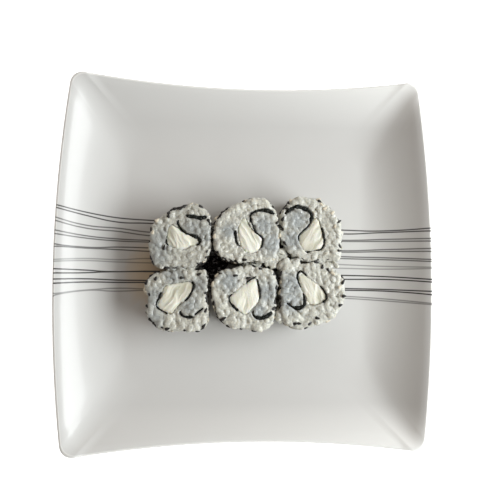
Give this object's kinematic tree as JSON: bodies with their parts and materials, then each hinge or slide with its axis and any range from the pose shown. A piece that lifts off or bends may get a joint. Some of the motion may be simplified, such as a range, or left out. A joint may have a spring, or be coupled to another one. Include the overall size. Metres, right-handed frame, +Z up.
{
  "type": "plate of inside-out sushi rolls",
  "caption": "Cut inside-out sushi rolls with nori and cream cheese, stood on their cut faces on a square white porcelain plate with raised curved sides.",
  "frame": {"origin": "middle of the plate's foot ring, on the table", "axes": "+Z up, +X along the printed lines to the right of the rolls, +Y across them to the back"},
  "size_m": [0.2598, 0.2558, 0.0362],
  "materials": {
    "porcelain": "clear glossy glaze on white porcelain",
    "rice": "moist, slightly see-through cooked rice",
    "nori": "damp, crinkled seaweed sheet",
    "cream-cheese": "soft, smeared and slightly shiny"
  },
  "bodies": {
    "root": {"plate": "porcelain", "rice-a": "rice", "rice-b": "rice", "rice-c": "rice", "rice-d": "rice", "rice-e": "rice", "rice-f": "rice", "nori-a": "nori", "nori-b": "nori", "nori-c": "nori", "nori-d": "nori", "nori-e": "nori", "nori-f": "nori", "cream-cheese-a": "cream-cheese", "cream-cheese-b": "cream-cheese", "cream-cheese-c": "cream-cheese", "cream-cheese-d": "cream-cheese", "cream-cheese-e": "cream-cheese", "cream-cheese-f": "cream-cheese"}
  },
  "joints": []
}
